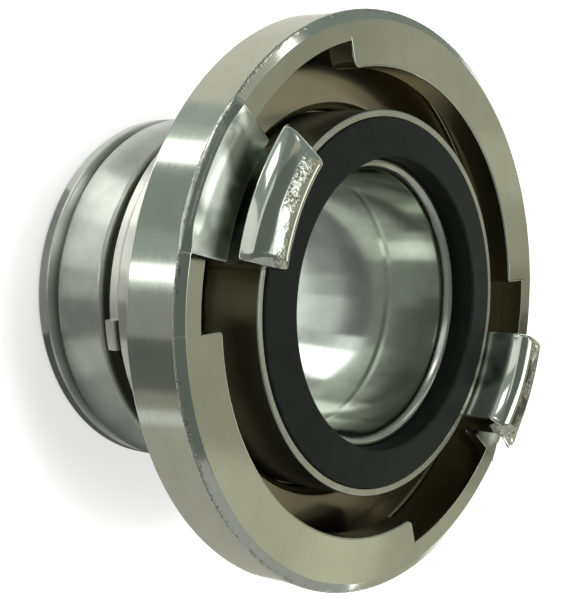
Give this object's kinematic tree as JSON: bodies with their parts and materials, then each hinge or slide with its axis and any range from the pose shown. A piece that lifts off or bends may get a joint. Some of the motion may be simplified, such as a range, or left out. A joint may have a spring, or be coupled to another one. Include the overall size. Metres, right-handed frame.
{
  "type": "claw hose coupling",
  "caption": "Symmetrical claw-type hose coupling half: a turning ring with hooked claws on a short shank with a face seal, a retaining clip and a hose ferrule.",
  "frame": {"origin": "on the common axis, in the plane of the open tail end on which the coupling stands", "axes": "+Z along the bore towards the coupling face and its claws, +X through the middle of one claw"},
  "size_m": [0.098, 0.098, 0.0611],
  "materials": {
    "turned_aluminium": "turned, bright",
    "satin_aluminium": "satin",
    "black_rubber": "matt",
    "spring_steel": "satin",
    "pressed_aluminium": "satin, lightly rolled"
  },
  "bodies": {
    "tail": {"shank": "satin_aluminium", "seal": "black_rubber", "retaining_clip": "spring_steel", "ferrule": "pressed_aluminium"},
    "ring": {"claw_ring": "turned_aluminium"}
  },
  "joints": [
    {"name": "ring_turn", "type": "hinge", "parent": "tail", "child": "ring", "pos_m": [0, 0, 0.04], "axis": [0, 0, 1], "continuous": true}
  ]
}
